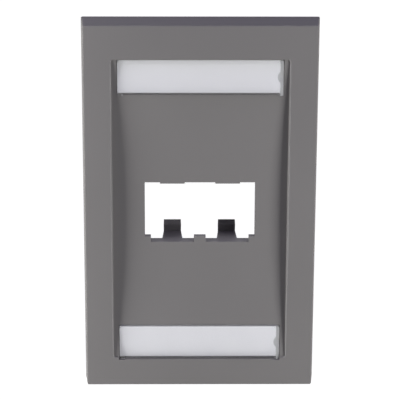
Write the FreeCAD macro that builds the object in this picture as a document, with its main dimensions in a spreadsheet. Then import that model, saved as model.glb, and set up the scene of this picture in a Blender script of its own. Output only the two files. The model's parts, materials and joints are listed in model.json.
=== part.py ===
import FreeCAD, Part
import Sketcher
import math
import os

# Single-gang wall plate for two data modules. Millimetres, +Z up, front towards -Y.
# The origin is the middle of the rear rim, on the wall plane between the two screws.

doc = FreeCAD.newDocument("WallPlate")
sheet = doc.addObject("Spreadsheet::Sheet", "Sizes")

DRIVING_SIZES = [
    # Moulded shell
    ("plate_width", 69.85),
    ("plate_height", 114.3),
    ("plate_depth", 7.87),
    ("side_taper_angle", 5.5),
    ("corner_radius", 0.5),
    ("front_edge_radius", 0.4),
    ("skirt_wall", 2.2),
    ("skin", 2.0),
    ("rail_width", 8.925),
    ("rail_web", 2.0),
    # Dished panel, which lies a little below the middle of the plate
    ("panel_drop", 0.65),
    ("dish_depth", 2.8),
    ("dish_end_depth", 0.45),
    ("dish_wall_angle", 5.5),
    ("dish_corner_radius", 0.6),
    ("dish_rim_radius", 0.35),
    # Label windows and the pockets that hold them
    ("window_drop", 0.15),
    ("cover_end_margin", 1.75),
    ("cover_height", 10.25),
    ("cover_thickness", 1.45),
    ("cover_front_depth", 0.2),
    ("cover_corner_radius", 0.9),
    ("cover_edge_radius", 0.25),
    ("cover_rim", 0.25),
    ("cover_end_rim", 1.0),
    ("cover_side_gap", 0.2),
    ("cover_top_gap", 0.1),
    ("cover_bottom_gap", 0.45),
    ("cover_seat_gap", 0.03),
    ("foot_width", 1.5),
    ("foot_drop", 0.5),
    ("foot_gap", 0.15),
    ("end_bevel_angle", 29),
    ("dimple_depth", 0.97),
    ("label_thickness", 0.25),
    ("label_gap", 0.05),
    # Screws and their bosses
    ("screw_inset", 15.5),
    ("screw_length", 19.05),
    ("screw_radius", 1.75),
    ("screw_neck_radius", 1.5),
    ("screw_thread_gap", 0.15),
    ("screw_tip_chamfer", 0.6),
    ("head_radius", 3.4),
    ("head_rim", 0.25),
    ("head_half_angle", 41),
    ("head_slot_width", 1.1),
    ("head_slot_depth", 0.9),
    ("screw_hole_gap", 0.25),
    ("countersink_gap", 0.05),
    ("boss_radius", 5.0),
    ("boss_setback", 0.3),
    # Module opening
    ("module_pitch", 16.45),
    ("opening_width", 32.9),
    ("opening_height", 17.0),
    ("notch_drop", 1.75),
    ("corner_post_width", 1.8),
    ("middle_post_width", 3.54),
    ("stop_tab_width", 7.37),
    ("stop_tab_drop", 0.4),
    ("stop_depth", 1.7),
    ("collar_wall", 1.6),
    ("collar_depth", 3.3),
    # Latch tongues
    ("tongue_width", 6.1),
    ("tongue_tip_width", 5.05),
    ("tongue_thickness", 1.2),
    ("tongue_reach", 9.7),
    ("hook_depth", 1.0),
    ("hook_lean", 0.4),
    ("hook_height", 2.2),
    ("hook_ramp", 1.2),
    # Ribs in the hollow rails
    ("rib_thickness", 1.2),
    ("rib_rows", 3),
    ("rib_pitch", 28.0),
    ("rib_setback", 1.5),
    # How far one feature runs into, or cuts past, the next
    ("overlap", 0.5),
]

for row, (alias, size) in enumerate(DRIVING_SIZES, start=1):
    sheet.set(f"A{row}", alias)
    sheet.set(f"B{row}", str(size))
    sheet.setAlias(f"B{row}", alias)
doc.recompute()

# Places that several features share, worked out from the driving sizes.
SCREW_Z = "(Sizes.plate_height / 2 - Sizes.screw_inset)"
DISH_HALF = "(Sizes.plate_width / 2 - Sizes.rail_width)"
WINDOW_Z = f"({SCREW_Z} - Sizes.window_drop)"
DISH_END = f"({WINDOW_Z} + Sizes.cover_height / 2 + Sizes.cover_top_gap)"
DISH_RISE = "(Sizes.dish_depth - Sizes.dish_end_depth)"
DISH_RADIUS = f"(({DISH_END}^2 + {DISH_RISE}^2) / (2 * {DISH_RISE}))"
PANEL_Y = "(Sizes.dish_depth - Sizes.plate_depth)"
PANEL_Z = "(-Sizes.panel_drop)"
DISH_AXIS_Y = f"({PANEL_Y} - {DISH_RADIUS})"
TRAY_HALF = f"({DISH_HALF} + Sizes.rail_web)"
TRAY_END = f"({DISH_END} + Sizes.skin)"
COVER_HALF = f"({DISH_HALF} - Sizes.cover_end_margin)"
COVER_HALF_HEIGHT = "(Sizes.cover_height / 2)"
POCKET_DEPTH = "(Sizes.cover_front_depth + Sizes.cover_thickness + Sizes.cover_seat_gap)"
POCKET_FLOOR_Y = f"({POCKET_DEPTH} - Sizes.plate_depth)"
POCKET_HALF = f"({COVER_HALF} + Sizes.cover_side_gap)"
POCKET_BOTTOM = f"({WINDOW_Z} - {COVER_HALF_HEIGHT} - Sizes.cover_bottom_gap)"
FOOT_BOTTOM = f"({WINDOW_Z} - {COVER_HALF_HEIGHT} - Sizes.foot_drop - Sizes.foot_gap)"
FOOT_SIDE = f"({POCKET_HALF} - Sizes.cover_side_gap - Sizes.foot_width - Sizes.foot_gap)"
PAD_BACK_Y = f"({POCKET_FLOOR_Y} + Sizes.skin)"
PAD_INNER_Z = f"({POCKET_BOTTOM} - Sizes.skin)"
LABEL_RIGHT = f"({COVER_HALF} - Sizes.cover_end_rim)"
LABEL_HALF_HEIGHT = f"({COVER_HALF_HEIGHT} - Sizes.cover_rim)"
HOLE_RADIUS = "(Sizes.screw_radius + Sizes.screw_hole_gap)"
HEAD_CONE = "((Sizes.head_radius - Sizes.screw_radius) / tan(Sizes.head_half_angle * 1 deg))"
OPENING_HALF = "(Sizes.opening_width / 2)"
OPENING_TOP = "(Sizes.opening_height / 2)"
NOTCH_FLOOR = f"(-{OPENING_TOP} - Sizes.notch_drop)"
COLLAR_Y = f"({PANEL_Y} + Sizes.collar_depth)"
HOOK_Y = f"({PANEL_Y} + Sizes.tongue_reach)"
TONGUE_TIP_Y = f"({HOOK_Y} + Sizes.hook_depth)"
HOOK_TOP = f"({NOTCH_FLOOR} + Sizes.hook_height + Sizes.hook_ramp)"

ENDS = (("upper", 1), ("lower", -1))
START, END, CENTRE = 1, 2, 3
ORIGIN, LEVEL, UPRIGHT = -1, -1, -2
FULL_TURN = 360
SAME = 1e-6


def value(expression):
    """The number that an expression in the sheet's sizes gives now."""
    result = sheet.evalExpression(expression)
    return getattr(result, "Value", result)


def origin_feature(body, role):
    """One of the body's own origin planes or axes."""
    return next(item for item in body.Origin.OriginFeatures if item.Role == role)


def new_sketch(body, name, role, **offsets):
    """Empty sketch on one of the body's own planes, moved by expressions for x, y or z."""
    sketch = body.newObject("Sketcher::SketchObject", name)
    sketch.AttachmentSupport = [(origin_feature(body, role), "")]
    sketch.MapMode = "FlatFace"
    for axis, expression in offsets.items():
        sketch.setExpression(f"AttachmentOffset.Base.{axis}", expression)
    return sketch


def pin(sketch, edge, end, x=None, y=None):
    """Hold a point of the sketch at expressions for its coordinates."""
    for kind, axis, expression in (("DistanceX", UPRIGHT, x), ("DistanceY", LEVEL, y)):
        if expression is None:
            continue
        if expression == "0":
            sketch.addConstraint(Sketcher.Constraint("PointOnObject", edge, end, axis))
            continue
        held = Sketcher.Constraint(kind, ORIGIN, START, edge, end, value(expression))
        index = sketch.addConstraint(held)
        sketch.setExpression(f"Constraints[{index}]", expression)


def outline(sketch, corners, bow=None):
    """Closed polygon with a pair of expressions for each corner.

    With bow, the last side is an arc about that place on the sketch's X axis, and it passes
    on the side of the centre where the corners are.
    """
    first = sketch.GeometryCount
    last = first + len(corners) - 1
    points = [FreeCAD.Vector(value(x), value(y), 0) for x, y in corners]
    for start, end in zip(points, points[1:]):
        sketch.addGeometry(Part.LineSegment(start, end), False)
    entry, leave = START, END
    if bow is None:
        sketch.addGeometry(Part.LineSegment(points[-1], points[0]), False)
    else:
        centre = FreeCAD.Vector(value(bow), 0, 0)
        spoke = points[-1] - centre
        ring = Part.Circle(centre, FreeCAD.Vector(0, 0, 1), spoke.Length)
        turn = math.atan2(spoke.y, spoke.x)
        if spoke.x > 0:
            entry, leave = END, START
            sketch.addGeometry(Part.ArcOfCircle(ring, -turn, turn), False)
        else:
            sketch.addGeometry(Part.ArcOfCircle(ring, turn, 2 * math.pi - turn), False)
    for edge, (x, y) in enumerate(corners, start=first):
        is_last = edge == last
        following = first if is_last else edge + 1
        sketch.addConstraint(Sketcher.Constraint(
            "Coincident", edge, leave if is_last else END,
            following, entry if following == last else START))
        pin(sketch, edge, entry if is_last else START, x, y)
    if bow is not None:
        pin(sketch, last, CENTRE, x=bow)


def rectangle(sketch, left, right, low, high):
    outline(sketch, [(left, low), (right, low), (right, high), (left, high)])


def circle(sketch, x, y, radius):
    centre = FreeCAD.Vector(value(x), value(y), 0)
    edge = sketch.addGeometry(Part.Circle(centre, FreeCAD.Vector(0, 0, 1), value(radius)), False)
    index = sketch.addConstraint(Sketcher.Constraint("Radius", edge, value(radius)))
    sketch.setExpression(f"Constraints[{index}]", radius)
    pin(sketch, edge, CENTRE, x, y)


def feature(body, kind, name, profile, **settings):
    """PartDesign feature of a sketch. Text settings are expressions, the rest plain values."""
    made = body.newObject(f"PartDesign::{kind}", name)
    made.Profile = profile
    for key, setting in settings.items():
        if isinstance(setting, str) and key not in ("Type", "SideType"):
            made.setExpression(key, setting)
        else:
            setattr(made, key, setting)
    doc.recompute()
    return made


def dress(body, kind, name, size_name, size, wanted):
    """Fillet or chamfer of the edges of the body that the test picks out."""
    base = body.Tip
    edges = [f"Edge{i}" for i, edge in enumerate(base.Shape.Edges, start=1) if wanted(edge)]
    made = body.newObject(f"PartDesign::{kind}", name)
    made.Base = (base, edges)
    made.setExpression(size_name, size)
    doc.recompute()
    return made


def repeat(body, kind, name, originals, **settings):
    """Mirror or pattern of earlier features, which becomes the body's tip."""
    made = body.newObject(f"PartDesign::{kind}", name)
    made.Originals = originals
    for key, setting in settings.items():
        if isinstance(setting, str):
            made.setExpression(key, setting)
        else:
            setattr(made, key, setting)
    body.Tip = made
    doc.recompute()
    return made


def new_body(label):
    body = doc.addObject("PartDesign::Body", label)
    body.Label = label
    return body


def runs_back(edge):
    """True for a straight edge that runs more from front to back than across."""
    span = edge.Vertexes[-1].Point - edge.Vertexes[0].Point
    return edge.Curve.TypeId == "Part::GeomLine" and abs(span.y) > math.hypot(span.x, span.z)


def lies_at_y(item, y):
    """True for an edge or a face that is level with a plane parallel to the wall."""
    return abs(item.BoundBox.YMin - y) < SAME and abs(item.BoundBox.YMax - y) < SAME


def build_faceplate():
    """One grey moulding: tapered shell, hollow rails, dished panel, pockets, opening and latches."""
    body = new_body("faceplate")
    half_width = "(Sizes.plate_width / 2)"
    half_height = "(Sizes.plate_height / 2)"

    # All four sides lean inwards from the rear rim to the front.
    lean = "(Sizes.plate_depth * tan(Sizes.side_taper_angle * 1 deg))"
    profile = new_sketch(body, "shell_profile", "YZ_Plane")
    outline(profile, [
        ("0", half_height), ("-Sizes.plate_depth", f"({half_height} - {lean})"),
        ("-Sizes.plate_depth", f"({lean} - {half_height})"), ("0", f"-{half_height}"),
    ])
    feature(body, "Pad", "shell_block", profile, SideType="Symmetric", Length="Sizes.plate_width")
    trim = new_sketch(body, "side_trim_outline", "XY_Plane")
    for side in ("", "-"):
        outline(trim, [
            (f"{side}{half_width}", "0"), (f"{side}({half_width} + Sizes.overlap)", "0"),
            (f"{side}({half_width} + Sizes.overlap)", "-Sizes.plate_depth"),
            (f"{side}({half_width} - {lean})", "-Sizes.plate_depth"),
        ])
    feature(body, "Pocket", "shell", trim, Type="ThroughAll", SideType="Symmetric")
    dress(body, "Fillet", "shell_corners", "Radius", "Sizes.corner_radius", runs_back)
    front_y = -value("Sizes.plate_depth")
    dress(body, "Fillet", "front_edges", "Radius", "Sizes.front_edge_radius",
          lambda e: lies_at_y(e, front_y))

    # The hollow behind the rails and bands leaves a skirt that stands on the wall.
    hollow = new_sketch(body, "rail_hollow_outline", "XZ_Plane")
    inner_half = f"({half_width} - Sizes.skirt_wall)"
    inner_end = f"({half_height} - Sizes.skirt_wall)"
    rectangle(hollow, f"-{inner_half}", inner_half, f"-{inner_end}", inner_end)
    rectangle(hollow, f"-{TRAY_HALF}", TRAY_HALF, f"({PANEL_Z} - {TRAY_END})", f"({PANEL_Z} + {TRAY_END})")
    feature(body, "Pocket", "rail_hollow", hollow, Reversed=True,
            Length="Sizes.plate_depth - Sizes.skin")

    # The hollow behind the panel follows the dish, with a flat pad behind each label pocket.
    tray = new_sketch(body, "tray_back_profile", "YZ_Plane", y=PANEL_Z)
    back_radius = f"({DISH_RADIUS} + Sizes.skin)"
    back_y = f"({DISH_AXIS_Y} + sqrt({back_radius}^2 - {PAD_INNER_Z}^2))"
    lower_half = [(back_y, f"-{PAD_INNER_Z}"), (PAD_BACK_Y, f"-{PAD_INNER_Z}"),
                  (PAD_BACK_Y, f"-{TRAY_END}"), ("0", f"-{TRAY_END}")]
    upper_half = [("0", TRAY_END), (PAD_BACK_Y, TRAY_END),
                  (PAD_BACK_Y, PAD_INNER_Z), (back_y, PAD_INNER_Z)]
    outline(tray, lower_half + upper_half, bow=DISH_AXIS_Y)
    feature(body, "Pocket", "tray_hollow", tray, SideType="Symmetric", Length=f"2 * {TRAY_HALF}")

    # The panel is a shallow cylinder about a level axis in front of the plate.
    dish = new_sketch(body, "dish_section", "XY_Plane", y=DISH_AXIS_Y, z=PANEL_Z)
    mouth = "(Sizes.dish_depth + Sizes.overlap)"
    mouth_half = f"({DISH_HALF} + {mouth} * tan(Sizes.dish_wall_angle * 1 deg))"
    outline(dish, [
        (f"-{DISH_HALF}", DISH_RADIUS),
        (f"-{mouth_half}", f"({DISH_RADIUS} - {mouth})"),
        (mouth_half, f"({DISH_RADIUS} - {mouth})"),
        (DISH_HALF, DISH_RADIUS),
    ])
    feature(body, "Groove", "dish", dish, ReferenceAxis=(dish, ["H_Axis"]), Midplane=True,
            Angle=f"2 * asin({DISH_END} / {DISH_RADIUS})")
    inside = value(TRAY_HALF)
    dress(body, "Fillet", "dish_corners", "Radius", "Sizes.dish_corner_radius",
          lambda e: runs_back(e) and abs(e.BoundBox.Center.x) < inside
          and e.BoundBox.YMin < front_y + SAME)
    dress(body, "Fillet", "dish_rim", "Radius", "Sizes.dish_rim_radius",
          lambda e: lies_at_y(e, front_y) and max(-e.BoundBox.XMin, e.BoundBox.XMax) < inside)

    # Each label pocket has a corner recess for the two feet of its window.
    pocket = new_sketch(body, "label_pocket_outline", "XZ_Plane", y=PANEL_Z, z="Sizes.plate_depth")
    outline(pocket, [
        (f"-{POCKET_HALF}", DISH_END), (f"-{POCKET_HALF}", FOOT_BOTTOM),
        (f"-{FOOT_SIDE}", FOOT_BOTTOM), (f"-{FOOT_SIDE}", POCKET_BOTTOM),
        (FOOT_SIDE, POCKET_BOTTOM), (FOOT_SIDE, FOOT_BOTTOM),
        (POCKET_HALF, FOOT_BOTTOM), (POCKET_HALF, DISH_END),
    ])
    cut = feature(body, "Pocket", "upper_label_pocket", pocket, Length=POCKET_DEPTH)
    repeat(body, "LinearPattern", "label_pockets", [cut], Direction=(pocket, ["V_Axis"]),
           Reversed=True, Length=f"2 * {SCREW_Z}", Occurrences=len(ENDS))

    # Screw bosses stop just short of the wall, so that the rim seats first.
    boss = new_sketch(body, "boss_outline", "XZ_Plane", z="Sizes.boss_setback")
    circle(boss, "0", SCREW_Z, "Sizes.boss_radius")
    circle(boss, "0", f"-{SCREW_Z}", "Sizes.boss_radius")
    feature(body, "Pad", "screw_bosses", boss,
            Length=f"-Sizes.boss_setback - {PAD_BACK_Y} + Sizes.overlap")
    hole = new_sketch(body, "screw_hole_section", "XY_Plane", z=SCREW_Z)
    mouth_radius = "(Sizes.head_radius + Sizes.countersink_gap)"
    cone_end = f"({POCKET_FLOOR_Y} + Sizes.head_rim + {HEAD_CONE}" \
        " + Sizes.countersink_gap - Sizes.screw_hole_gap / tan(Sizes.head_half_angle * 1 deg))"
    outline(hole, [
        ("0", f"({POCKET_FLOOR_Y} - Sizes.overlap)"),
        (mouth_radius, f"({POCKET_FLOOR_Y} - Sizes.overlap)"),
        (mouth_radius, f"({POCKET_FLOOR_Y} + Sizes.head_rim + Sizes.countersink_gap)"),
        (HOLE_RADIUS, cone_end),
        (HOLE_RADIUS, "Sizes.overlap"),
        ("0", "Sizes.overlap"),
    ])
    bored = feature(body, "Groove", "upper_screw_hole", hole, ReferenceAxis=(hole, ["V_Axis"]),
                    Angle=FULL_TURN)
    repeat(body, "Mirrored", "screw_holes", [bored], MirrorPlane=(origin_feature(body, "XY_Plane"), [""]))

    # The opening takes two modules side by side. Posts and tabs stop them at the front,
    # and the collar behind guides them.
    collar = new_sketch(body, "collar_outline", "XZ_Plane", y=PANEL_Z, z=f"-{COLLAR_Y}")
    collar_half = f"({OPENING_HALF} + Sizes.collar_wall)"
    rectangle(collar, f"-{collar_half}", collar_half,
              f"({NOTCH_FLOOR} - Sizes.collar_wall)", f"({OPENING_TOP} + Sizes.collar_wall)")
    feature(body, "Pad", "collar", collar, Length="Sizes.collar_depth - Sizes.skin + Sizes.overlap")
    opening = new_sketch(body, "opening_outline", "XZ_Plane", y=PANEL_Z)
    post_top = f"-{OPENING_TOP}"
    corner_post = f"({OPENING_HALF} - Sizes.corner_post_width)"
    middle_post = "(Sizes.middle_post_width / 2)"
    tab_outer = "((Sizes.module_pitch + Sizes.stop_tab_width) / 2)"
    tab_inner = "((Sizes.module_pitch - Sizes.stop_tab_width) / 2)"
    tab_low = f"({OPENING_TOP} - Sizes.stop_tab_drop)"
    right_side = [
        (middle_post, post_top), (middle_post, NOTCH_FLOOR), (corner_post, NOTCH_FLOOR),
        (corner_post, post_top), (OPENING_HALF, post_top), (OPENING_HALF, OPENING_TOP),
        (tab_outer, OPENING_TOP), (tab_outer, tab_low), (tab_inner, tab_low), (tab_inner, OPENING_TOP),
    ]
    outline(opening, right_side + [(f"-{x}", z) for x, z in reversed(right_side)])
    feature(body, "Pocket", "module_opening", opening, Type="ThroughAll", SideType="Symmetric")
    relief = new_sketch(body, "module_bay_outline", "XZ_Plane", y=PANEL_Z)
    rectangle(relief, f"-{OPENING_HALF}", OPENING_HALF, NOTCH_FLOOR, OPENING_TOP)
    feature(body, "Pocket", "module_bay", relief, Reversed=True,
            Length=f"-{PANEL_Y} - Sizes.stop_depth")

    # Each latch tongue runs back from the notch floor to a hook that holds a module's foot.
    tongue = new_sketch(body, "tongue_profile", "YZ_Plane", y=PANEL_Z, z="Sizes.module_pitch / 2")
    root_y = f"({COLLAR_Y} - Sizes.overlap)"
    underside = f"({NOTCH_FLOOR} - Sizes.tongue_thickness)"
    catch_y = f"({HOOK_Y} - Sizes.hook_lean)"
    outline(tongue, [
        (root_y, underside), (TONGUE_TIP_Y, underside), (TONGUE_TIP_Y, HOOK_TOP),
        (f"({catch_y} + Sizes.hook_ramp)", HOOK_TOP),
        (catch_y, f"({NOTCH_FLOOR} + Sizes.hook_height)"),
        (HOOK_Y, NOTCH_FLOOR), (root_y, NOTCH_FLOOR),
    ])
    blade = feature(body, "Pad", "right_tongue", tongue, SideType="Symmetric", Length="Sizes.tongue_width")
    sides = new_sketch(body, "tongue_taper_outline", "XY_Plane", x="Sizes.module_pitch / 2", z=PANEL_Z)
    for side in ("", "-"):
        outline(sides, [
            (f"{side}Sizes.tongue_width / 2", COLLAR_Y),
            (f"{side}(Sizes.tongue_width / 2 + Sizes.overlap)", COLLAR_Y),
            (f"{side}(Sizes.tongue_width / 2 + Sizes.overlap)", f"({TONGUE_TIP_Y} + Sizes.overlap)"),
            (f"{side}Sizes.tongue_tip_width / 2", f"({TONGUE_TIP_Y} + Sizes.overlap)"),
        ])
    taper = feature(body, "Pocket", "right_tongue_taper", sides, SideType="Symmetric",
                    Length=f"2 * (Sizes.overlap - {underside})")
    repeat(body, "Mirrored", "latch_tongues", [blade, taper],
           MirrorPlane=(origin_feature(body, "YZ_Plane"), [""]))

    # Ribs tie the skirt to the side walls of the tray inside the hollow rails.
    rib = new_sketch(body, "rib_outline", "XZ_Plane", z="Sizes.rib_setback")
    rib_span = "((Sizes.rib_rows - 1) * Sizes.rib_pitch)"
    rib_low = f"(-{rib_span} / 2 - Sizes.rib_thickness / 2)"
    rib_high = f"(-{rib_span} / 2 + Sizes.rib_thickness / 2)"
    rib_inner = f"({TRAY_HALF} - Sizes.overlap)"
    rib_outer = f"({inner_half} + Sizes.overlap)"
    rectangle(rib, rib_inner, rib_outer, rib_low, rib_high)
    rectangle(rib, f"-{rib_outer}", f"-{rib_inner}", rib_low, rib_high)
    web = feature(body, "Pad", "low_ribs", rib,
                  Length="Sizes.plate_depth - Sizes.skin - Sizes.rib_setback + Sizes.overlap")
    repeat(body, "LinearPattern", "rail_ribs", [web], Direction=(rib, ["V_Axis"]),
           Length=rib_span, Occurrences="Sizes.rib_rows")
    return body


def build_cover(label, height_sign):
    """Clear window over a label: a plate with two feet below, a channel behind and a pry end."""
    body = new_body(label)
    face = new_sketch(body, label + "_outline", "XZ_Plane")
    foot_low = f"-({COVER_HALF_HEIGHT} + Sizes.foot_drop)"
    foot_side = f"({COVER_HALF} - Sizes.foot_width)"
    low = f"-{COVER_HALF_HEIGHT}"
    right_side = [(foot_side, low), (foot_side, foot_low), (COVER_HALF, foot_low),
                  (COVER_HALF, COVER_HALF_HEIGHT)]
    outline(face, right_side + [(f"-{x}", z) for x, z in reversed(right_side)])
    feature(body, "Pad", label + "_plate", face, Length="Sizes.cover_thickness")
    channel = new_sketch(body, label + "_channel_outline", "XZ_Plane")
    channel_half = f"({LABEL_HALF_HEIGHT} + Sizes.label_gap)"
    rectangle(channel, f"-({COVER_HALF} + Sizes.overlap)", f"({LABEL_RIGHT} + Sizes.label_gap)",
              f"-{channel_half}", channel_half)
    feature(body, "Pocket", label + "_channel", channel, Reversed=True,
            Length="Sizes.label_thickness + Sizes.label_gap")
    top = value(COVER_HALF_HEIGHT)
    dress(body, "Fillet", label + "_corners", "Radius", "Sizes.cover_corner_radius",
          lambda e: runs_back(e) and abs(e.BoundBox.ZMax - top) < SAME)
    front = -value("Sizes.cover_thickness")
    dress(body, "Fillet", label + "_edges", "Radius", "Sizes.cover_edge_radius",
          lambda e: lies_at_y(e, front))

    # The right end is bevelled past the card. A cone of the same slope, with its axis just off
    # the end, makes a dimple there for a fingernail.
    bevel = new_sketch(body, label + "_bevel_outline", "XY_Plane")
    past_end = f"({COVER_HALF} + Sizes.overlap)"
    slope = "tan(Sizes.end_bevel_angle * 1 deg)"
    outline(bevel, [
        (LABEL_RIGHT, "-Sizes.cover_thickness"), (past_end, "-Sizes.cover_thickness"),
        (past_end, f"((Sizes.cover_end_rim + Sizes.overlap) * {slope} - Sizes.cover_thickness)"),
    ])
    feature(body, "Pocket", label + "_bevel", bevel, Type="ThroughAll", SideType="Symmetric")
    dimple = new_sketch(body, label + "_dimple_section", "XY_Plane", x=past_end, y="-Sizes.cover_thickness")
    outline(dimple, [
        ("0", "-Sizes.overlap"),
        (f"(-Sizes.overlap - (Sizes.dimple_depth + Sizes.overlap) / {slope})", "-Sizes.overlap"),
        ("0", f"(Sizes.dimple_depth + Sizes.overlap * {slope})"),
    ])
    feature(body, "Groove", label + "_dimple", dimple, ReferenceAxis=(dimple, ["V_Axis"]), Angle=FULL_TURN)
    body.setExpression("Placement.Base.y", f"{POCKET_FLOOR_Y} - Sizes.cover_seat_gap")
    body.setExpression("Placement.Base.z", f"{height_sign} * {SCREW_Z} - Sizes.window_drop + {PANEL_Z}")
    return body


def build_label(label, height_sign):
    """White card behind a window."""
    body = new_body(label)
    face = new_sketch(body, label + "_outline", "XZ_Plane")
    rectangle(face, f"-{COVER_HALF}", LABEL_RIGHT, f"-{LABEL_HALF_HEIGHT}", LABEL_HALF_HEIGHT)
    feature(body, "Pad", label + "_card", face, Length="Sizes.label_thickness")
    body.setExpression("Placement.Base.y", POCKET_FLOOR_Y)
    body.setExpression("Placement.Base.z", f"{height_sign} * {SCREW_Z} - Sizes.window_drop + {PANEL_Z}")
    return body


def build_screw(label, height_sign):
    """Slotted countersunk machine screw, its head level with the pocket floor.

    A plain neck fills the boss, and the stouter threaded end starts just behind it.
    """
    body = new_body(label)
    half = new_sketch(body, label + "_half_section", "XY_Plane")
    neck_cone = "((Sizes.head_radius - Sizes.screw_neck_radius) / tan(Sizes.head_half_angle * 1 deg))"
    thread_start = f"(Sizes.screw_thread_gap - Sizes.boss_setback - {POCKET_FLOOR_Y})"
    outline(half, [
        ("0", "0"), ("Sizes.head_radius", "0"), ("Sizes.head_radius", "Sizes.head_rim"),
        ("Sizes.screw_neck_radius", f"(Sizes.head_rim + {neck_cone})"),
        ("Sizes.screw_neck_radius", f"({thread_start} + Sizes.screw_neck_radius - Sizes.screw_radius)"),
        ("Sizes.screw_radius", thread_start),
        ("Sizes.screw_radius", "(Sizes.screw_length - Sizes.screw_tip_chamfer)"),
        ("(Sizes.screw_radius - Sizes.screw_tip_chamfer)", "Sizes.screw_length"),
        ("0", "Sizes.screw_length"),
    ])
    feature(body, "Revolution", label + "_turned", half, ReferenceAxis=(half, ["V_Axis"]), Angle=FULL_TURN)
    slot = new_sketch(body, label + "_slot_outline", "XZ_Plane")
    reach = "(Sizes.head_radius + Sizes.overlap)"
    rectangle(slot, f"-{reach}", reach, "-Sizes.head_slot_width / 2", "Sizes.head_slot_width / 2")
    feature(body, "Pocket", label + "_slot", slot, Length="Sizes.head_slot_depth")
    body.setExpression("Placement.Base.y", POCKET_FLOOR_Y)
    body.setExpression("Placement.Base.z", f"{height_sign} * {SCREW_Z}")
    return body


parts = [build_faceplate()]
for end, height_sign in ENDS:
    parts.append(build_cover(f"{end}_label_cover", height_sign))
    parts.append(build_label(f"{end}_label", height_sign))
    parts.append(build_screw(f"{end}_mounting_screw", height_sign))
doc.recompute()

for made in doc.Objects:
    if "Invalid" in made.State or "Error" in made.State:
        raise RuntimeError(f"{made.Label} did not build: {made.State}")
for part in parts:
    if part.Shape.isNull() or not part.Shape.isValid() or len(part.Shape.Solids) != 1:
        raise RuntimeError(f"{part.Label} is not one valid solid")

os.makedirs("parts", exist_ok=True)
for part in parts:
    part.Shape.exportStep(f"parts/{part.Label}.step")
    box = part.Shape.optimalBoundingBox(False)
    print(f"{part.Label}: volume {part.Shape.Volume:.1f} mm3, y {box.YMin:.2f} to {box.YMax:.2f}, "
          f"z {box.ZMin:.2f} to {box.ZMax:.2f}")
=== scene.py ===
import json
import math

import bpy
from mathutils import Matrix, Vector

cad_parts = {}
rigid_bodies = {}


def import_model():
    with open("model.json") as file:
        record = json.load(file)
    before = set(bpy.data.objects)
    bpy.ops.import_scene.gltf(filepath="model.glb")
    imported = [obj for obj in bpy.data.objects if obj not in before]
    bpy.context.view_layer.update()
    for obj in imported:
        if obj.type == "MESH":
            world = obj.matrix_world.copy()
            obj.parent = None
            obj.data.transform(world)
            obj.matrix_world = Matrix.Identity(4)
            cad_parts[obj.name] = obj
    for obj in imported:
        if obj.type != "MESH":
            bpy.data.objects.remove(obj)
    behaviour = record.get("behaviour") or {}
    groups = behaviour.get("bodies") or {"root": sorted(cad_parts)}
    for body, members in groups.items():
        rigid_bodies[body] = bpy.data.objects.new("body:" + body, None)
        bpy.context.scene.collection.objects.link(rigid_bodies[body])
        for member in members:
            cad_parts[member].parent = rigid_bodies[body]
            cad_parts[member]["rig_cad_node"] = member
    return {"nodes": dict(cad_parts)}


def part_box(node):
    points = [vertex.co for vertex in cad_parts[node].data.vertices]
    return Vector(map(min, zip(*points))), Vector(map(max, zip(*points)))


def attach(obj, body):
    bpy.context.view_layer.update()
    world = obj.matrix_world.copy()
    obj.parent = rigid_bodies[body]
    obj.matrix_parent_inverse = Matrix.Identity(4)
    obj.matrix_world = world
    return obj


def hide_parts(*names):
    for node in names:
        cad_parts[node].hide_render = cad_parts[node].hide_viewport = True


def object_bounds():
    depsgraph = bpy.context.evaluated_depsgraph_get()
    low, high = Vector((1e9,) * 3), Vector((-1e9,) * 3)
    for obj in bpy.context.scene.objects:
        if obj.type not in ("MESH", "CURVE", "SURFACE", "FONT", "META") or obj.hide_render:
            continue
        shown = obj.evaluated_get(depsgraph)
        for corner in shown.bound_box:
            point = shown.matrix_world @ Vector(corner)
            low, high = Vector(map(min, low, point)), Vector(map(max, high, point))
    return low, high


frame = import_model()
cad_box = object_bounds()

# Faceplate: the whole grey front, one injection moulding in a tough matte plastic.
# Rails, dished panel, pockets, posts and latch tongues come out of the mould together: the show side
# with a very fine grain, the rails' inner rims a little polished and painted lighter as a highlight,
# the inside smooth and painted a deeper, bluer grey as shade under the cool overhead light.
MM = 0.001
MERGE_GAP = 0.0005 * MM
CREASE_DEG = 35
CLOUD_DETAIL, GRAIN_DETAIL = 3.0, 2.0
MOULDING_DARK, MOULDING_LIGHT = (0.180, 0.174, 0.171, 1), (0.196, 0.189, 0.186, 1)
# Rim colours: lighter than the moulding, a painted highlight along the rails' inner rims.
RIM_HIGHLIGHT_DARK, RIM_HIGHLIGHT_LIGHT = (0.206, 0.199, 0.196, 1), (0.224, 0.216, 0.213, 1)
# Inside colours: a deeper, bluer grey than the show side, painted shade and painted cool light on what lies
# behind the front.
INSIDE_SHADE_DARK, INSIDE_SHADE_LIGHT = (0.120, 0.112, 0.122, 1), (0.132, 0.124, 0.134, 1)
MOULDING_SHINE, RIM_SHINE, INSIDE_SHINE = 0.03, 0.5, 0.15
MOULD_CLOUD, MOULD_GRAIN = 45, 3500
GRAIN_HEIGHT, SMOOTH_HEIGHT = 0.004 * MM, 0.001 * MM
INSIDE_DEPTH = 2.87 * MM
SKIRT_WALL = 1.7 * MM
WALL_FACING = 0.5
RIM_DEPTH, RIM_LEAN = 0.36 * MM, 0.2


def copy_of(source, name):
    """A copy of an object with its own mesh, selected and active."""
    bpy.ops.object.select_all(action="DESELECT")
    source.select_set(True)
    bpy.context.view_layer.objects.active = source
    bpy.ops.object.duplicate()
    made = bpy.context.object
    made.name = name
    made.data.name = name
    return made


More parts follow.
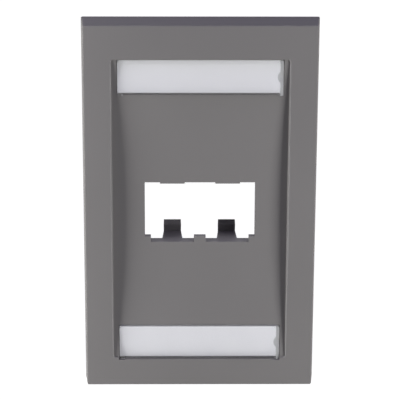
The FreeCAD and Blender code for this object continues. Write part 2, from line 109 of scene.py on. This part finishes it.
def smooth_copy(node, name, body):
    """A CAD node's shape with its triangles merged and its rounded edges shaded smooth."""
    piece = copy_of(frame["nodes"][node], name)
    del piece["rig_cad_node"]
    bpy.ops.object.mode_set(mode="EDIT")
    bpy.ops.mesh.select_all(action="SELECT")
    bpy.ops.mesh.customdata_custom_splitnormals_clear()
    bpy.ops.mesh.remove_doubles(threshold=MERGE_GAP)
    bpy.ops.object.mode_set(mode="OBJECT")
    bpy.ops.object.shade_smooth_by_angle(angle=math.radians(CREASE_DEG))
    even = piece.modifiers.new("even_shading", "WEIGHTED_NORMAL")
    even.keep_sharp = True
    bpy.ops.object.modifier_apply(modifier=even.name)
    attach(piece, body)
    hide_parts(node)
    return piece


def grain_group():
    """Slow cloudiness and fine grain, shared by the moulding, the screws, the card and the windows."""
    group = bpy.data.node_groups.new("cloud_and_grain", "ShaderNodeTree")
    for socket in ("Cloud Scale", "Grain Scale"):
        group.interface.new_socket(socket, in_out="INPUT", socket_type="NodeSocketFloat")
    for socket in ("Cloud", "Grain"):
        group.interface.new_socket(socket, in_out="OUTPUT", socket_type="NodeSocketFloat")
    nodes, links = group.nodes, group.links
    given, put = nodes.new("NodeGroupInput"), nodes.new("NodeGroupOutput")
    place = nodes.new("ShaderNodeTexCoord")
    for name, detail in (("Cloud", CLOUD_DETAIL), ("Grain", GRAIN_DETAIL)):
        noise = nodes.new("ShaderNodeTexNoise")
        noise.inputs["Detail"].default_value = detail
        links.new(place.outputs["Object"], noise.inputs["Vector"])
        links.new(given.outputs[f"{name} Scale"], noise.inputs["Scale"])
        links.new(noise.outputs["Fac"], put.inputs[name])
    return group


def new_finish(name):
    """Empty material with a Principled shader, ready for its nodes."""
    finish = bpy.data.materials.new(name)
    finish.use_nodes = True
    return finish, finish.node_tree.nodes, finish.node_tree.links


def drifting_finish(name, rough, cloud_scale):
    """Material whose polish drifts slowly between two roughnesses, and its node of clouds and grain."""
    finish, nodes, links = new_finish(name)
    grain = nodes.new("ShaderNodeGroup")
    grain.node_tree = cloud_and_grain
    grain.inputs["Cloud Scale"].default_value = cloud_scale
    polish = nodes.new("ShaderNodeMapRange")
    polish.inputs["To Min"].default_value, polish.inputs["To Max"].default_value = rough
    links.new(grain.outputs["Cloud"], polish.inputs["Value"])
    links.new(polish.outputs["Result"], nodes["Principled BSDF"].inputs["Roughness"])
    return finish, grain


def grained_finish(name, dark, light, rough, bump, cloud_scale, grain_scale):
    """Solid finish whose colour and polish drift slowly, over a fine raised grain."""
    finish, grain = drifting_finish(name, rough, cloud_scale)
    nodes, links = finish.node_tree.nodes, finish.node_tree.links
    shader = nodes["Principled BSDF"]
    tint = nodes.new("ShaderNodeMix")
    tint.data_type = "RGBA"
    tint.inputs["A"].default_value = dark
    tint.inputs["B"].default_value = light
    links.new(grain.outputs["Cloud"], tint.inputs["Factor"])
    links.new(tint.outputs["Result"], shader.inputs["Base Color"])
    grain.inputs["Grain Scale"].default_value = grain_scale
    raised = nodes.new("ShaderNodeBump")
    raised.inputs["Distance"].default_value = bump
    links.new(grain.outputs["Grain"], raised.inputs["Height"])
    links.new(raised.outputs["Normal"], shader.inputs["Normal"])
    return finish, shader


def moulded_finish(name, dark, light, rough, bump, shine):
    """Grained finish of the faceplate's own plastic, with its share of gloss."""
    finish, shader = grained_finish(name, dark, light, rough, bump, MOULD_CLOUD, MOULD_GRAIN)
    shader.inputs["Specular IOR Level"].default_value = shine
    return finish


def dress(piece, finish):
    """Give a piece its main finish."""
    piece.data.materials.clear()
    piece.data.materials.append(finish)


def refinish(piece, finish, picked):
    """Give one more finish to the faces that a test of their centre and normal picks out."""
    piece.data.materials.append(finish)
    added = len(piece.data.materials) - 1
    for face in piece.data.polygons:
        if picked(face.center, face.normal):
            face.material_index = added


def inside_plate(centre, normal):
    """True on what faces the wall: behind the dished panel, under the rails and inside the skirt."""
    within = (abs(centre.x) < cad_box[1][0] - SKIRT_WALL
              and abs(centre.z) < cad_box[1][2] - SKIRT_WALL)
    if within:
        return centre.y > cad_box[0][1] + INSIDE_DEPTH or normal.y > WALL_FACING
    return centre.x * normal.x + centre.z * normal.z < 0


def rail_rim(centre, normal):
    """True on the small round along each rail's inner edge."""
    near_front = centre.y < cad_box[0][1] + RIM_DEPTH
    return near_front and centre.x * normal.x < 0 and abs(normal.x) > RIM_LEAN


cloud_and_grain = grain_group()
faceplate = smooth_copy("faceplate", "faceplate_moulding", "plate")
grey_moulding = moulded_finish("grey_moulding", MOULDING_DARK, MOULDING_LIGHT, rough=(0.50, 0.65),
                               bump=GRAIN_HEIGHT, shine=MOULDING_SHINE)
# Inside finish: smoother plastic, its darker and bluer colour painted shade.
smooth_inside_painted_shade = moulded_finish("smooth_inside_painted_shade", INSIDE_SHADE_DARK, INSIDE_SHADE_LIGHT, rough=(0.36, 0.46),
                               bump=SMOOTH_HEIGHT, shine=INSIDE_SHINE)
# Rails' inner rims: real extra gloss, and a lighter colour that is a painted highlight.
polished_rim_painted_highlight = moulded_finish("polished_rim_painted_highlight", RIM_HIGHLIGHT_DARK, RIM_HIGHLIGHT_LIGHT, rough=(0.30, 0.40),
                              bump=SMOOTH_HEIGHT, shine=RIM_SHINE)
dress(faceplate, grey_moulding)
refinish(faceplate, smooth_inside_painted_shade, inside_plate)
refinish(faceplate, polished_rim_painted_highlight, rail_rim)

# Fixing screws: zinc-plated steel, a slotted countersunk head on a plain neck.
# The thread is rolled on the stretch behind the plate and chamfered at the tip. Its roots are
# painted darker than its crests, as painted shade in the thread's grooves.
ENDS = ("upper", "lower")
HEAD_RIM = 0.25 * MM
HEAD_HALF_ANGLE = math.radians(41)
NECK_RADIUS = 1.5 * MM
THREAD_START_Y = -0.15 * MM
THREAD_RADIUS = 1.75 * MM
ROOT_RADIUS = 1.28 * MM
PITCH_LENGTH = 0.794 * MM
LEAD_TURNS = 2
CREST_SHARE, FLANK_SHARE = 0.12, 0.34
TIP_CHAMFER = 0.6 * MM
CUT_MARGIN = 0.05 * MM
SLOT_WIDTH, SLOT_DEPTH = 1.1 * MM, 0.9 * MM
TURN_STEPS = 40
STEP_ANGLE = 2 * math.pi / TURN_STEPS
# Parts of a step that keep the corners of two rings apart where they are joined or cut.
HEAD_TURN, BLANK_TURN = 0.25, 0.5
SCREW_CREASE_DEG = 28
ZINC_DARK, ZINC_LIGHT = (0.56, 0.56, 0.55, 1), (0.70, 0.70, 0.68, 1)
# Painted shade in the thread's roots: its colour and how far it is mixed in.
ROOT_SHADE = (0.16, 0.155, 0.15, 1)
ROOT_SHADE_STRENGTH = 0.85


def disc(name, radius, y, turned=0):
    """Flat round face across the screw's axis, turned by part of a step and left in edit mode."""
    bpy.ops.object.select_all(action="DESELECT")
    bpy.ops.mesh.primitive_circle_add(vertices=TURN_STEPS, radius=radius, fill_type="NGON",
                                      location=(0, y, 0),
                                      rotation=(math.pi / 2, turned * STEP_ANGLE, 0))
    made = bpy.context.object
    made.name = name
    bpy.ops.object.transform_apply(location=True, rotation=True, scale=True)
    bpy.ops.object.mode_set(mode="EDIT")
    bpy.ops.mesh.select_all(action="SELECT")
    return made


def pulled_ring(length, grown):
    """Draw the selected ring or face back along Y, then scale it about the screw's axis."""
    bpy.ops.mesh.extrude_region_move(TRANSFORM_OT_translate={"value": (0, length, 0)})
    bpy.ops.transform.resize(value=(grown, 1, grown), center_override=(0, 0, 0))


def close_up():
    """Merge what meets, turn all faces outwards and leave edit mode."""
    bpy.ops.mesh.select_all(action="SELECT")
    bpy.ops.mesh.remove_doubles(threshold=MERGE_GAP)
    bpy.ops.mesh.normals_make_consistent(inside=False)
    bpy.ops.object.mode_set(mode="OBJECT")


def carve(piece, tool, operation):
    """Join, cut or trim a piece with a second mesh, which is used up."""
    bpy.context.view_layer.objects.active = piece
    cut = piece.modifiers.new(tool.name, "BOOLEAN")
    cut.operation = operation
    cut.object = tool
    bpy.ops.object.modifier_apply(modifier=cut.name)
    bpy.data.objects.remove(tool)


def middle_height(node):
    """Height of the middle of a CAD node's box."""
    low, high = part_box(node)
    return (low[2] + high[2]) / 2


def combined(nodes, links, operation, first, second):
    """Sum, difference or product of two values, kept between 0 and 1."""
    joined = nodes.new("ShaderNodeMath")
    joined.operation = operation
    joined.use_clamp = True
    links.new(first, joined.inputs[0])
    links.new(second, joined.inputs[1])
    return joined.outputs["Value"]


def paint_root_shade(finish, shader, axis_height):
    """Paint shade into a finish towards the thread's root, by the distance from the screw's axis."""
    nodes, links = finish.node_tree.nodes, finish.node_tree.links
    place = nodes.new("ShaderNodeTexCoord")
    reached = place.outputs["Object"]
    for operation, by, put in (("ABSOLUTE", (0, 0, 0), "Vector"),
                               ("SUBTRACT", (0, 0, axis_height), "Vector"),
                               ("MULTIPLY", (1, 0, 1), "Vector"),
                               ("LENGTH", (0, 0, 0), "Value")):
        step = nodes.new("ShaderNodeVectorMath")
        step.operation = operation
        step.inputs[1].default_value = by
        links.new(reached, step.inputs[0])
        reached = step.outputs[put]
    depth = nodes.new("ShaderNodeMapRange")
    depth.inputs["From Min"].default_value = ROOT_RADIUS
    depth.inputs["From Max"].default_value = THREAD_RADIUS
    depth.inputs["To Min"].default_value = ROOT_SHADE_STRENGTH
    depth.inputs["To Max"].default_value = 0
    links.new(reached, depth.inputs["Value"])
    split = nodes.new("ShaderNodeSeparateXYZ")
    links.new(place.outputs["Object"], split.inputs["Vector"])
    threaded = nodes.new("ShaderNodeMath")
    threaded.operation = "GREATER_THAN"
    threaded.inputs[1].default_value = THREAD_START_Y
    links.new(split.outputs["Y"], threaded.inputs[0])
    root_shade_share = combined(nodes, links, "MULTIPLY", depth.outputs["Result"], threaded.outputs["Value"])
    root_shade_mix = nodes.new("ShaderNodeMix")
    root_shade_mix.data_type = "RGBA"
    root_shade_mix.inputs["B"].default_value = ROOT_SHADE
    links.new(root_shade_share, root_shade_mix.inputs["Factor"])
    links.new(shader.inputs["Base Color"].links[0].from_socket, root_shade_mix.inputs["A"])
    links.new(root_shade_mix.outputs["Result"], shader.inputs["Base Color"])


screw_low, screw_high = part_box("upper_mounting_screw")
head_y, tip_y = screw_low[1], screw_high[1]
head_radius = (screw_high[2] - screw_low[2]) / 2
cone_length = (head_radius - NECK_RADIUS) / math.tan(HEAD_HALF_ANGLE)
slot_length = 3 * head_radius

screw = disc("fixing_screw", head_radius, head_y, HEAD_TURN)
pulled_ring(HEAD_RIM, 1)
pulled_ring(cone_length, NECK_RADIUS / head_radius)
pulled_ring(THREAD_START_Y - head_y - HEAD_RIM - cone_length, 1)
close_up()

bpy.ops.object.select_all(action="DESELECT")
bpy.ops.mesh.primitive_cube_add(size=1, location=(0, head_y, 0),
                                scale=(slot_length, 2 * SLOT_DEPTH, SLOT_WIDTH))
slot_cutter = bpy.context.object
slot_cutter.name = "slot_cutter"
bpy.ops.object.transform_apply(location=True, rotation=True, scale=True)
carve(screw, slot_cutter, "DIFFERENCE")

thread = disc("rolled_thread", ROOT_RADIUS, THREAD_START_Y - LEAD_TURNS * PITCH_LENGTH)
bpy.ops.mesh.merge(type="CENTER")
bpy.ops.transform.translate(value=(ROOT_RADIUS, 0, 0))
root_share = 1 - CREST_SHARE - 2 * FLANK_SHARE
for out, along in ((0, root_share), (1, FLANK_SHARE), (0, CREST_SHARE), (-1, FLANK_SHARE)):
    step = (out * (THREAD_RADIUS - ROOT_RADIUS), along * PITCH_LENGTH, 0)
    bpy.ops.mesh.extrude_region_move(TRANSFORM_OT_translate={"value": step})
bpy.ops.object.mode_set(mode="OBJECT")
wound = thread.modifiers.new("wound", "SCREW")
wound.axis = "Y"
wound.steps = wound.render_steps = TURN_STEPS
wound.screw_offset = PITCH_LENGTH
wound.iterations = math.ceil((tip_y - THREAD_START_Y) / PITCH_LENGTH) + LEAD_TURNS + 1
bpy.ops.object.modifier_apply(modifier=wound.name)
bpy.ops.object.mode_set(mode="EDIT")
bpy.ops.mesh.select_all(action="SELECT")
bpy.ops.mesh.remove_doubles(threshold=MERGE_GAP)
for cut_y, facing in ((THREAD_START_Y - PITCH_LENGTH / 2, -1), (tip_y + PITCH_LENGTH / 2, 1)):
    bpy.ops.mesh.select_all(action="SELECT")
    bpy.ops.mesh.bisect(plane_co=(0, cut_y, 0), plane_no=(0, facing, 0), use_fill=True,
                        clear_outer=True, threshold=MERGE_GAP)
bpy.ops.mesh.select_all(action="SELECT")
bpy.ops.mesh.quads_convert_to_tris()
close_up()

blank_start, blank_full = NECK_RADIUS - CUT_MARGIN, THREAD_RADIUS + CUT_MARGIN
blank_cone = blank_full - blank_start
blank = disc("screw_blank", blank_start, THREAD_START_Y + CUT_MARGIN - blank_cone, BLANK_TURN)
pulled_ring(blank_cone, blank_full / blank_start)
pulled_ring(tip_y - TIP_CHAMFER - THREAD_START_Y - 2 * CUT_MARGIN, 1)
pulled_ring(TIP_CHAMFER + CUT_MARGIN, (THREAD_RADIUS - TIP_CHAMFER) / blank_full)
close_up()
carve(thread, blank, "INTERSECT")
carve(screw, thread, "UNION")

zinc_plate, shader = grained_finish("zinc_plate", ZINC_DARK, ZINC_LIGHT, rough=(0.28, 0.42),
                                    bump=0.002 * MM, cloud_scale=600, grain_scale=9000)
shader.inputs["Metallic"].default_value = 1.0
paint_root_shade(zinc_plate, shader, middle_height("upper_mounting_screw"))
for end in ENDS:
    fitted = copy_of(screw, f"{end}_screw")
    bpy.ops.transform.translate(value=(0, 0, middle_height(f"{end}_mounting_screw")))
    bpy.ops.object.transform_apply(location=True, rotation=True, scale=True)
    bpy.ops.object.shade_smooth_by_angle(angle=math.radians(SCREW_CREASE_DEG))
    dress(fitted, zinc_plate)
    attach(fitted, "plate")
    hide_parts(f"{end}_mounting_screw")
bpy.data.objects.remove(screw)

# Labels: a strip of plain white card for each pocket, to be written on.
# It is uncoated stock with a faint fibre, cut to size and held flat behind its window.
CARD_DARK, CARD_LIGHT = (0.66, 0.66, 0.68, 1), (0.70, 0.70, 0.715, 1)

white_card, _ = grained_finish("white_card", CARD_DARK, CARD_LIGHT, rough=(0.75, 0.9),
                               bump=0.004 * MM, cloud_scale=160, grain_scale=5000)
for end in ENDS:
    card = frame["nodes"][f"{end}_label"]
    card.data.materials.clear()
    card.data.materials.append(white_card)

# Label windows: clear plastic, moulded with a shallow channel for the card behind, two corner feet
# that clip into the pocket and a bevelled, dimpled end to prise it out by. Front and back are
# polished; edges, bevel and dimple are slightly frosted, and the long lower edge is tinted dark
# as painted shade, the thin dark line under the label.
CLEAR_IOR = 1.49
CLEAR_TINT = (0.97, 0.975, 0.98, 1)
FROST_TINT = (0.39, 0.395, 0.40, 1)
# Dark tint of the window's lower edge: painted shade for the line under the label.
UNDERSIDE_SHADE_TINT = (0.12, 0.12, 0.125, 1)
FROST_CLEARNESS = 0.3
UNDERSIDE_PASSES = 0.6
MARK_SCALE = 300
BEVEL_LEAN, EDGE_LEAN, UNDERSIDE_LEAN = 0.2, 0.4, 0.7


def clear_finish(name, tint, clearness, rough, passes):
    """Clear plastic with faint polishing marks.

    A share of lamp light and stray light passes it unbent, so that what lies behind is lit.
    """
    finish, _ = drifting_finish(name, rough, MARK_SCALE)
    nodes, links = finish.node_tree.nodes, finish.node_tree.links
    shader = nodes["Principled BSDF"]
    shader.inputs["Base Color"].default_value = tint
    shader.inputs["IOR"].default_value = CLEAR_IOR
    shader.inputs["Transmission Weight"].default_value = clearness
    ray = nodes.new("ShaderNodeLightPath")
    through = nodes.new("ShaderNodeBsdfTransparent")
    through.inputs["Color"].default_value = (passes, passes, passes, 1)
    pane = nodes.new("ShaderNodeMixShader")
    unbent = combined(nodes, links, "ADD", ray.outputs["Is Shadow Ray"], ray.outputs["Is Diffuse Ray"])
    links.new(unbent, pane.inputs["Fac"])
    links.new(shader.outputs["BSDF"], pane.inputs[1])
    links.new(through.outputs["BSDF"], pane.inputs[2])
    links.new(pane.outputs["Shader"], nodes["Material Output"].inputs["Surface"])
    return finish


def window_edge(centre, normal):
    """True on the bevelled, dimpled end and on the faces that run back from the front."""
    return normal.x > BEVEL_LEAN or abs(normal.y) < EDGE_LEAN


def window_underside(centre, normal):
    """True on the long lower edge, tinted dark as painted shade: the thin dark line under the label."""
    return normal.z < -UNDERSIDE_LEAN


clear_plastic = clear_finish("clear_plastic", CLEAR_TINT, 1.0, rough=(0.03, 0.06), passes=1)
frosted_edge = clear_finish("frosted_edge", FROST_TINT, FROST_CLEARNESS, rough=(0.4, 0.6), passes=1)
underside_painted_shade = clear_finish("underside_painted_shade", UNDERSIDE_SHADE_TINT, FROST_CLEARNESS, rough=(0.5, 0.7),
                              passes=UNDERSIDE_PASSES)
for end in ENDS:
    window = smooth_copy(f"{end}_label_cover", f"{end}_window", f"{end}_window")
    dress(window, clear_plastic)
    refinish(window, frosted_edge, window_edge)
    refinish(window, underside_painted_shade, window_underside)

# Floor: a wide pale sheet well below the plate, which hangs as it would on its wall.
# It glows white to the eye, less so close under the plate: painted shade there, in which the real shadow
# also shows.
FLOOR_Z = -0.45
FLOOR_SIZE = 6.0
FLOOR_PALE = (0.8, 0.8, 0.8, 1)
FLOOR_ROUGHNESS = 0.9
WHITE = (1, 1, 1, 1)
SHADE_NEAR, SHADE_FAR = 0.10, 0.40
GLOW_NEAR, GLOW_FAR = 0.28, 1.0


def seen_rays(nodes, links):
    """1 on rays that show the background: straight to the eye, in gloss or through glass.

    Light that has already scattered off a matt surface doesn't count, so the white lights nothing.
    """
    ray = nodes.new("ShaderNodeLightPath")
    bounced = combined(nodes, links, "ADD", ray.outputs["Is Glossy Ray"], ray.outputs["Is Transmission Ray"])
    bounced = combined(nodes, links, "SUBTRACT", bounced, ray.outputs["Diffuse Depth"])
    return combined(nodes, links, "ADD", ray.outputs["Is Camera Ray"], bounced)


bpy.ops.object.select_all(action="DESELECT")
bpy.ops.mesh.primitive_plane_add(size=FLOOR_SIZE, location=(0, 0, FLOOR_Z))
floor = bpy.context.object
floor.name = "floor"
pale_floor, nodes, links = new_finish("pale_floor")
shader = nodes["Principled BSDF"]
shader.inputs["Base Color"].default_value = FLOOR_PALE
shader.inputs["Roughness"].default_value = FLOOR_ROUGHNESS
shader.inputs["Emission Color"].default_value = WHITE
place = nodes.new("ShaderNodeTexCoord")
away = nodes.new("ShaderNodeVectorMath")
away.operation = "LENGTH"
links.new(place.outputs["Object"], away.inputs[0])
# Glow dimmed close to the plate: painted shade under it.
glow = nodes.new("ShaderNodeMapRange")
glow.inputs["From Min"].default_value = SHADE_NEAR
glow.inputs["From Max"].default_value = SHADE_FAR
glow.inputs["To Min"].default_value = GLOW_NEAR
glow.inputs["To Max"].default_value = GLOW_FAR
links.new(away.outputs["Value"], glow.inputs["Value"])
shown = combined(nodes, links, "MULTIPLY", glow.outputs["Result"], seen_rays(nodes, links))
links.new(shown, shader.inputs["Emission Strength"])
floor.data.materials.append(pale_floor)

# Studio: a narrow upright softbox grazing in close on the left, a wider one on the right, a weak
# cool one overhead, one low behind for the back and the underside, and a faint even fill, in a
# room that is white to the eye.
AIM = Vector((0, cad_box[0][1], 0))
NEUTRAL = (1, 1, 1)
COOL = (0.35, 0.25, 1)
FILL_TINT = (0.95, 0.97, 1, 1)
FILL_STRENGTH = 0.005


def softbox(name, azimuth_deg, elevation_deg, distance, lift, width, height, power, colour=NEUTRAL):
    """Rectangular lamp that faces the plate from an angle to the front, then is raised or lowered.

    Its light falls on the object, but neither the lamp nor its mirror image in a window shows.
    """
    azimuth, elevation = math.radians(azimuth_deg), math.radians(elevation_deg)
    away = Vector((math.sin(azimuth) * math.cos(elevation),
                   -math.cos(azimuth) * math.cos(elevation), math.sin(elevation)))
    bpy.ops.object.light_add(type="AREA", location=AIM + away * distance + Vector((0, 0, lift)))
    lamp = bpy.context.object
    lamp.name = name
    lamp.rotation_euler = away.to_track_quat("Z", "Y").to_euler()
    lamp.data.shape = "RECTANGLE"
    lamp.data.size = width
    lamp.data.size_y = height
    lamp.data.energy = power
    lamp.data.color = colour
    lamp.visible_camera = lamp.visible_glossy = lamp.visible_transmission = False


softbox("left_softbox", azimuth_deg=-74.0, elevation_deg=0, distance=0.139, lift=-0.10,
        width=0.059, height=0.60, power=0.745)
softbox("right_softbox", azimuth_deg=56.9, elevation_deg=0, distance=0.223, lift=-0.07,
        width=0.099, height=0.66, power=1.08)
softbox("top_softbox", azimuth_deg=0, elevation_deg=75, distance=0.50, lift=0,
        width=0.40, height=0.30, power=0.4, colour=COOL)
softbox("rear_softbox", azimuth_deg=180, elevation_deg=-30, distance=0.60, lift=0,
        width=0.30, height=0.30, power=3.7)

world = bpy.data.worlds.new("studio")
bpy.context.scene.world = world
world.use_nodes = True
nodes, links = world.node_tree.nodes, world.node_tree.links
fill = nodes["Background"]
fill.inputs["Color"].default_value = FILL_TINT
fill.inputs["Strength"].default_value = FILL_STRENGTH
white = nodes.new("ShaderNodeBackground")
white.inputs["Color"].default_value = WHITE
white.inputs["Strength"].default_value = 1.0
mixed = nodes.new("ShaderNodeMixShader")
links.new(seen_rays(nodes, links), mixed.inputs["Fac"])
links.new(fill.outputs["Background"], mixed.inputs[1])
links.new(white.outputs["Background"], mixed.inputs[2])
links.new(mixed.outputs["Shader"], nodes["World Output"].inputs["Surface"])

# Camera: a long lens, a little above the plate and a hair left of square on.
# Its shift only brings the plate to its place in the 400 by 400 picture.
DISTANCE = 616.7 * MM
PITCH, YAW, ROLL = (math.radians(angle) for angle in (19.07, 0.776, -0.228))
LENS_MM, SENSOR_MM = 186.75, 36
SHIFT_PIXELS, IMAGE_PIXELS = 10.37, 400

across = Vector((math.cos(YAW), -math.sin(YAW), 0))
upwards = Vector((math.sin(YAW) * math.sin(PITCH), math.cos(YAW) * math.sin(PITCH), math.cos(PITCH)))
right = across * math.cos(ROLL) - upwards * math.sin(ROLL)
up = across * math.sin(ROLL) + upwards * math.cos(ROLL)
back = right.cross(up)
camera_data = bpy.data.cameras.new("camera")
camera_data.lens = LENS_MM
camera_data.sensor_width = SENSOR_MM
camera_data.shift_y = SHIFT_PIXELS / IMAGE_PIXELS
camera = bpy.data.objects.new("camera", camera_data)
bpy.context.scene.collection.objects.link(camera)
turned = Matrix((right, up, back)).transposed().to_4x4()
camera.matrix_world = Matrix.Translation(AIM + back * DISTANCE) @ turned
bpy.context.scene.camera = camera
bpy.context.scene.view_settings.view_transform = "Standard"
